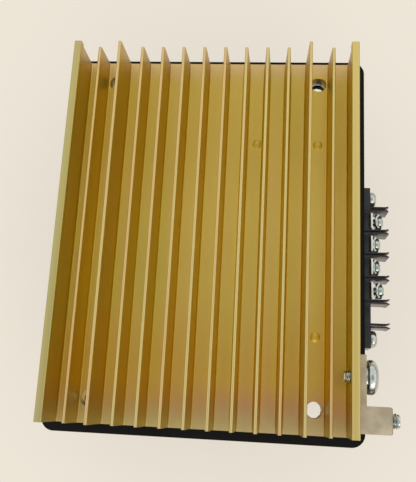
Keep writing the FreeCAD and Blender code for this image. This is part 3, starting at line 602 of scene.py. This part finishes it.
def sinkOutline(low, high):
    s = sinkSizes
    top, bottom, side = high.z / mm, low.z / mm, high.x / mm
    base = bottom + s["base"]
    inner = [(i + 0.5) * s["pitch"] for i in range(s["innerFins"])]
    fins = [(x, base + s["shortFin"]) for x in inner + [tallFin() + s["holeChannel"]]] + [(tallFin(), top)]
    fins = sorted(fins + [(-x, z) for x, z in fins])
    web, lip, under = side - s["flangeWeb"], side - s["flangeTip"], top - s["lip"]
    flange = [
        (side, bottom, s["footRound"]), (side, top, s["flangeRound"]), (lip, top, s["flangeRound"]),
        (lip, under + s["flangeTip"] - s["flangeWeb"], s["lipRound"]), (web, under, s["lipRound"]),
        (web, base, s["rootRound"]),
    ]
    corners = [(-x, z, r) for x, z, r in flange]
    for x, z in fins:
        corners += [
            (x - s["root"] / 2, base, s["rootRound"]), (x - s["tip"] / 2, z, s["tipRound"]),
            (x + s["tip"] / 2, z, s["tipRound"]), (x + s["root"] / 2, base, s["rootRound"]),
        ]
    return filleted(corners + list(reversed(flange)), 5)


def dome(place):   # a low round mark in the channels' floor, a cap of a ball on a sunk foot
    r, h, foot = sinkSizes["domeRadius"], sinkSizes["domeHeight"], sinkSizes["domeFoot"]
    ball = (r * r + h * h) / (2 * h)
    steps = [r * (1 - i / 8) for i in range(8)]
    arc = [(x, math.sqrt(ball * ball - x * x) - ball + h) for x in steps]
    mark = lathe("dome", [(0, -foot), (r, -foot)] + arc + [(0, h)], 32)
    mark.data.transform(Matrix.Translation(place))
    return mark


def heatSink():
    s = sinkSizes
    low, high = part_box("heat_sink")
    bottom, base = low.z / mm, s["base"]
    sink = prism("sink", sinkOutline(low, high), low.y / mm, high.y / mm)
    r, ease, past = s["holeRadius"], s["countersink"], 0.5
    hole = [(0, -1), (r, -1), (r, base - ease), (r + ease + past, base + past), (0, base + past)]
    holeX, holeY = tallFin() + s["holeOffset"], high.y / mm - s["holeEnd"]
    cutters = []
    for x, y in ((-holeX, -holeY), (-holeX, holeY), (holeX, -holeY), (holeX, holeY)):
        cutter = lathe("hole", hole)
        cutter.data.transform(Matrix.Translation(Vector((x, y, bottom)) * mm))
        cutters.append(cutter)
    screwLow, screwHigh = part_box("ground_screw")
    cutters.append(placed(drill(s["screwBore"], -8, 4, 48), seat(screwLow, screwHigh, high.x)))
    combined(sink, "DIFFERENCE", *cutters)
    rounded(sink, s["saw"], 1, 60)
    domes = [dome(Vector((x, y, bottom + base)) * mm) for x, y in s["domes"]]
    return finished(joined(sink, *domes), "heat_sink", finishes["gold_aluminium"], 32)


heatSink()
print("heat sink made")


# Cover, its sleeves and its screws

sleeveSizes = {"acrossFlats": 8.6, "clearance": 0.02, "bore": 3.35, "groove": 0.22, "grooves": 4}


def mountingSleeves():
    s = sleeveSizes
    boxes = solidBoxes("mounting_sleeves")
    length = (boxes[0][1].z - boxes[0][0].z) / mm
    step = length / s["grooves"]
    narrow, wide = s["bore"], s["bore"] + s["groove"]
    bore = []
    for i in range(s["grooves"]):
        top = length - i * step
        bore += [
            (narrow, top), (narrow, top - 0.4 * step), (wide, top - 0.6 * step), (wide, top - 0.8 * step),
        ]
    outer = hexagon(s["acrossFlats"] - s["clearance"])
    ring = lathe("sleeve", [(outer, 0), (outer, length)] + bore + [(narrow, 0)], closed=True)
    seats = [(low + high) / 2 - Vector((0, 0, length * mm / 2)) for low, high in boxes]
    return finished(repeated("sleeves", ring, seats, steel), "mounting_sleeves", steel, 30)


finished(softened("cover", 0.45, 3), "cover", finishes["black_moulding"])
mountingSleeves()
finished(softened("cover_screws", 0.25), "cover_screws", steel)
print("cover, sleeves and cover screws made")


# Terminal strip: base with ears and holes, and six double barriers with split, flared tips

stripSizes = {
    "positions": 5, "pitch": 9.75, "baseHeight": 7.5, "rise": 2.4, "edge": 0.15, "inset": 0.03,
    "earLength": 9.1, "earOverlap": 0.4, "earHeight": 7.2, "earHole": 1.85,
    "screwHole": 2.0, "screwHoleDepth": 5.5,
    "barrier": 7.3, "thickness": 1.75, "slot": 0.6, "slotFloor": 2.0, "tip": 2.4, "tipSlot": 1.5,
    "tipLength": 1.5, "tipRound": 0.25, "lowCorner": 1.8, "topCorner": 0.7,
}


def barrier(wall, bottom, top):   # two leaves from the wall out, split down to a floor near it
    s = stripSizes
    tip = wall + s["baseHeight"] + s["barrier"]
    flare = tip - s["tipLength"]
    leaf = s["thickness"] / 2
    half = [(wall - 1, leaf, 0), (flare, leaf, 0), (tip, s["tip"] / 2, s["tipRound"])]
    outline = filleted(half + [(x, -y, r) for x, y, r in reversed(half)])
    body = prism("barrier", outline, bottom - 1, top + 1, "xy")
    corners = [(wall, bottom, 0), (tip, bottom, s["lowCorner"]), (tip, top, s["topCorner"]), (wall, top, 0)]
    combined(body, "INTERSECT", prism("side", filleted(corners, 6), -3, 3))
    opening = s["slot"] + (s["tipSlot"] - s["slot"]) * (1 + 1 / s["tipLength"])
    half = [(wall + s["slotFloor"], s["slot"] / 2), (flare, s["slot"] / 2), (tip + 1, opening / 2)]
    slot = prism("slot", half + [(x, -y) for x, y in reversed(half)], bottom - 2, top + 2, "xy")
    return combined(body, "DIFFERENCE", slot)


def terminalStrip():
    s = stripSizes
    low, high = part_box("terminal_block")
    wall, bottom, top = low.x / mm, low.z / mm, high.z / mm
    face, earFace = wall + s["baseHeight"], wall + s["earHeight"]
    middleY, middleZ = (low.y + high.y) / 2 / mm, (bottom + top) / 2
    half = s["positions"] * s["pitch"] / 2
    inset, more = s["inset"], 2 * s["inset"]   # no two of the shapes that are united share a plane
    lowest = (wall + inset, middleY - half, bottom + inset)
    strip = plate("strip", lowest, (face, middleY + half, top - s["rise"]))
    holes = []
    for i in range(s["positions"]):
        y = middleY + (i - (s["positions"] - 1) / 2) * s["pitch"]
        hole = drill(s["screwHole"], -s["screwHoleDepth"], 2)
        holes.append(placed(hole, Vector((face, y, middleZ)) * mm))
    combined(strip, "DIFFERENCE", *holes)
    ears = []
    for side, (screwLow, screwHigh) in zip((-1, 1), solidBoxes("terminal_block_screws")):
        ends = [middleY + side * (half - s["earOverlap"]), middleY + side * (half + s["earLength"])]
        ear = plate("ear", (wall + more, min(ends), bottom + more), (earFace, max(ends), top - more))
        hole = drill(s["earHole"], -12, 2)
        placed(hole, (earFace * mm, (screwLow.y + screwHigh.y) / 2, middleZ * mm))
        ears.append(combined(ear, "DIFFERENCE", hole))
    rows = [middleY + (i - s["positions"] / 2) * s["pitch"] for i in range(s["positions"] + 1)]
    places = [Vector((0, y, 0)) * mm for y in rows]
    fence = repeated("fence", barrier(wall, bottom, top), places, finishes["strip_plastic"])
    combined(strip, "UNION", *ears, fence)
    rounded(strip, s["edge"], 2, 50)
    return finished(strip, "terminal_block", finishes["strip_plastic"], 30)


terminalStrip()
finished(softened("terminal_contacts", 0.12), "terminal_contacts", finishes["tinned_brass"])
print("terminal strip and contacts made")


# Terminal hardware: square clamps with turned-up corners under slotted binding heads

clampSizes = {
    "side": 6.2, "thickness": 0.9, "hole": 1.85, "lift": 0.9, "liftFrom": 3.15, "liftOver": 1.1,
    "edge": 0.12, "grid": 16, "mostTurn": 3, "seed": 4,
}
terminalScrewSizes = {
    "head": 3.1, "height": 2.4, "shank": 1.7, "pitch": 0.7, "length": 6.0, "slot": 0.9, "slotDepth": 1.1,
    "edge": 0.07, "mostTurn": 80, "seed": 7,
}
earScrewSizes = {
    "head": 3.45, "height": 3.1, "headInSource": 2.6, "shank": 1.75, "pitch": 0.8,
    "recess": 4.2, "width": 1.0, "depth": 1.5, "edge": 0.07, "mostTurn": 40, "seed": 3,
}


def wireClamps():
    s = clampSizes
    bm = bmesh.new()
    bmesh.ops.create_grid(bm, x_segments=s["grid"], y_segments=s["grid"], size=s["side"] / 2 * mm)
    for vert in bm.verts:
        out = max(0.0, min(1.0, (vert.co.length / mm - s["liftFrom"]) / s["liftOver"]))
        vert.co.z = s["lift"] * out * out * (3 - 2 * out) * mm
    clamp = meshObject("clamp", bm)
    solid = clamp.modifiers.new("sheet", "SOLIDIFY")
    solid.thickness = s["thickness"] * mm
    solid.offset = 1 if clamp.data.polygons[0].normal.z > 0 else -1
    applied(clamp)
    combined(clamp, "DIFFERENCE", drill(s["hole"], -2, 3))
    rounded(clamp, s["edge"], 2, 50)
    placed(clamp, (0, 0, 0))
    seats = [seat(low, high, low.x) for low, high in solidBoxes("wire_clamps")]
    row = repeated("clamps", clamp, seats, steel, s["mostTurn"], s["seed"])
    return finished(row, "wire_clamps", steel)


def bindingHead(s):   # underside at z = 0
    r, h = s["head"], s["height"]
    corners = [(0, 0, 0), (r - 0.35, 0, 0), (r, 0.3, 0.15), (r, 0.62 * h, 0.5), (0.55 * r, h, 1.2), (0, h, 0)]
    head = lathe("head", filleted(corners, 5))
    slot = blade(2 * r + 1, s["slot"], s["slotDepth"], h, 0, 1.0)
    cross = blade(0.95 * r, s["slot"] * 0.9, s["slotDepth"] * 1.25, h, 90)
    combined(head, "DIFFERENCE", slot, cross)
    return rounded(head, s["edge"], 1, 50)


def domedHead(s, rim, sides, fullness=0.8):   # a straight rim, then a quarter of an ellipse up to the pole
    r, rise = s["head"], s["height"] - rim
    turns = [math.radians(90 * i / 10) for i in range(10)]
    curve = [(r * math.cos(t) ** fullness, rim + rise * math.sin(t) ** fullness) for t in turns]
    return lathe("head", [(0, 0), (r - 0.6, 0), (r - 0.17, 0.25)] + curve + [(0, s["height"])], sides)


def shankBelow(s, length, intoHead, sides=24):   # a threaded shank down from z = 0, its top inside the head
    shank = threadedRod("shank", s["shank"], s["pitch"], length + intoHead, sides)
    shank.data.transform(Matrix.Translation((0, 0, -length * mm)))
    return shank


def terminalScrews():
    s = terminalScrewSizes
    screw = placed(joined(bindingHead(s), shankBelow(s, s["length"], 0.2)), (0, 0, 0))
    seats = [seat(low, high, high.x - s["height"] * mm) for low, high in solidBoxes("terminal_screws")]
    row = repeated("screws", screw, seats, steel, s["mostTurn"], s["seed"])
    return finished(row, "terminal_screws", steel)


def earScrews():
    s = earScrewSizes
    head = domedHead(s, 0.3 * s["height"], 48)
    wings = [blade(s["recess"], s["width"], s["depth"], s["height"], turn) for turn in (0, 90)]
    combined(head, "DIFFERENCE", *wings)
    rounded(head, s["edge"], 1, 50)
    boxes = solidBoxes("terminal_block_screws")
    length = (boxes[0][1].x - boxes[0][0].x) / mm - s["headInSource"]
    screw = placed(joined(head, shankBelow(s, length, 0.2)), (0, 0, 0))
    seats = [seat(low, high, high.x - s["headInSource"] * mm) for low, high in boxes]
    row = repeated("earScrews", screw, seats, steel, s["mostTurn"], s["seed"])
    return finished(row, "terminal_block_screws", steel)


wireClamps()
terminalScrews()
earScrews()
print("terminal hardware made")


# Ground lug on the right flange, its washer, its large screw and its own clamp screw

groundScrewSizes = {
    "head": 6.35, "height": 4.0, "headInSource": 3.8, "rim": 1.3, "shank": 2.4, "pitch": 0.8,
    "recess": 6.0, "width": 1.3, "depth": 1.9, "turn": 30, "edge": 0.12,
}
washerSizes = {"outer": 4.3, "bore": 2.5}
clampScrewSizes = {"radius": 2.9, "pitch": 1.0, "slot": 1.0, "slotDepth": 1.1}


def groundScrew():
    s = groundScrewSizes
    low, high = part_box("ground_screw")
    head = domedHead(s, s["rim"], 72)
    turns = (s["turn"], s["turn"] + 90)
    wings = [blade(s["recess"], s["width"], s["depth"], s["height"], turn, 0.5) for turn in turns]
    combined(head, "DIFFERENCE", *wings)
    rounded(head, s["edge"], 2, 50)
    length = (high.x - low.x) / mm - s["headInSource"]
    place = seat(low, high, high.x - s["headInSource"] * mm)
    return finished(placed(joined(head, shankBelow(s, length, 0.3, 36)), place), "ground_screw", steel)


def groundWasher():
    low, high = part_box("ground_washer")
    thick, outer, bore = (high.x - low.x) / mm, washerSizes["outer"], washerSizes["bore"]
    corners = [(bore, 0, 0.1), (outer, 0, 0.15), (outer, thick, 0.3), (bore, thick, 0.15)]
    ring = lathe("washer", filleted(corners, 3), 64, closed=True)
    return finished(placed(ring, seat(low, high, low.x)), "ground_washer", steel)


def lugClampScrew():
    s = clampScrewSizes
    low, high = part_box("lug_clamp_screw")
    length = (high.x - low.x) / mm
    screw = threadedRod("clampScrew", s["radius"], s["pitch"], length, 40)
    slot = plate("slot", (-4, -s["slot"] / 2, length - s["slotDepth"]), (4, s["slot"] / 2, length + 1))
    combined(screw, "DIFFERENCE", slot)
    return finished(placed(screw, seat(low, high, low.x), 90), "lug_clamp_screw", steel, 50)


groundScrew()
groundWasher()
lugClampScrew()
finished(softened("ground_lug", 0.4, 3), "ground_lug", finishes["bare_aluminium"])
print("ground lug and its screws made")


# Everything else keeps its CAD shape and takes its own finish
for name, node in nodes.items():
    if name not in dressed:
        node.data.materials.clear()
        node.data.materials.append(finishes[slotOf[name]])
print("carried over with their own finish:", len(nodes) - len(dressed))


# Floor, room, lamp and camera

stageLook = {
    "floor": colour(0.82, 0.775, 0.68), "floorShade": colour(0.79, 0.74, 0.64),
    "floorSize": 3000, "floorDrop": 0.02,
    "glow": colour(0.84, 0.78, 0.68), "glowShare": 0.72, "roomColour": colour(1.0, 0.985, 0.955),
    "horizon": 0.28, "sky": 0.84, "skyFrom": (-0.02, 0.36), "overhead": 0.60, "overheadFrom": (0.90, 0.985),
}
windowLight = {"place": (350, -1150, 850), "size": (900, 600), "power": 5, "tint": (1.0, 0.97, 0.92)}
cameraView = {
    "place": (24.5848, -66.3033, 316.3814), "tilt": (13.6839, 5.2443, 1.7689), "focal": 49.83, "sensor": 36,
}


def stageFloor():   # glows for the eye and in metal and glass, and takes the drive's shadow with the rest
    look = stageLook
    bm = bmesh.new()
    bmesh.ops.create_grid(bm, x_segments=1, y_segments=1, size=look["floorSize"] / 2 * mm)
    ground = meshObject("floor", bm)
    ground.data.transform(Matrix.Translation((0, 0, -look["floorDrop"] * mm)))
    finish = Finish("paperFloor", roughness=0.85)
    ground.data.materials.append(finish.feed(
        baseColor=finish.mix(finish.noise(180, detail=3), look["floor"], look["floorShade"]),
        normal=finish.bump(finish.noise(1.2, detail=3), 0.12, 0.1),
    ))
    rays = ("Is Camera Ray", "Is Glossy Ray", "Is Transmission Ray")
    seen, mirrored, through = [finish.node("ShaderNodeLightPath", {}, {}, ray) for ray in rays]
    glow = finish.node("ShaderNodeEmission", {}, {"Color": look["glow"]})
    share = (seen + mirrored + through) * look["glowShare"]
    lit = Wire(finish.tree, finish.shader.outputs[0])
    shown = finish.node("ShaderNodeMixShader", {}, {0: share, 1: lit, 2: glow})
    finish.tree.links.new(shown.socket, finish.tree.nodes["Material Output"].inputs["Surface"])


def room():   # brightest at half height, dimmer at eye level and right overhead, for the metal to mirror
    look = stageLook
    world = bpy.data.worlds.new("room")
    world.use_nodes = True
    bpy.context.scene.world = world
    tree = world.node_tree
    direction = addNode(tree, "ShaderNodeTexCoord", {}, {})
    rise = addNode(tree, "ShaderNodeSeparateXYZ", {}, {0: direction}, 2)
    bright = look["sky"] * rise.between(*look["skyFrom"])
    dim = look["overhead"] * rise.between(*look["overheadFrom"])
    strength = look["horizon"] + bright - dim
    background = tree.nodes["Background"]
    background.inputs["Color"].default_value = look["roomColour"]
    tree.links.new(strength.socket, background.inputs["Strength"])


def windowLamp():
    light = bpy.data.lights.new("window", "AREA")
    light.shape = "RECTANGLE"
    light.size, light.size_y = [side * mm for side in windowLight["size"]]
    light.energy = windowLight["power"]
    light.color = windowLight["tint"]
    place = Vector(windowLight["place"]) * mm
    holder = bpy.data.objects.new("window", light)
    holder.location = place
    holder.rotation_euler = (-place).to_track_quat("-Z", "Y").to_euler()   # it faces the drive
    bpy.context.scene.collection.objects.link(holder)


def camera():
    view = cameraView
    data = bpy.data.cameras.new("camera")
    data.sensor_width = view["sensor"]
    data.lens = view["focal"]
    holder = bpy.data.objects.new("camera", data)
    turnX, turnY, turnZ = [Matrix.Rotation(math.radians(a), 4, axis) for a, axis in zip(view["tilt"], "XYZ")]
    holder.matrix_world = Matrix.Translation(Vector(view["place"]) * mm) @ turnX @ turnY @ turnZ
    bpy.context.scene.collection.objects.link(holder)
    bpy.context.scene.camera = holder


stageFloor()
room()
windowLamp()
camera()
bpy.context.scene.view_settings.view_transform = "Standard"
print("floor, room, lamp and camera made")
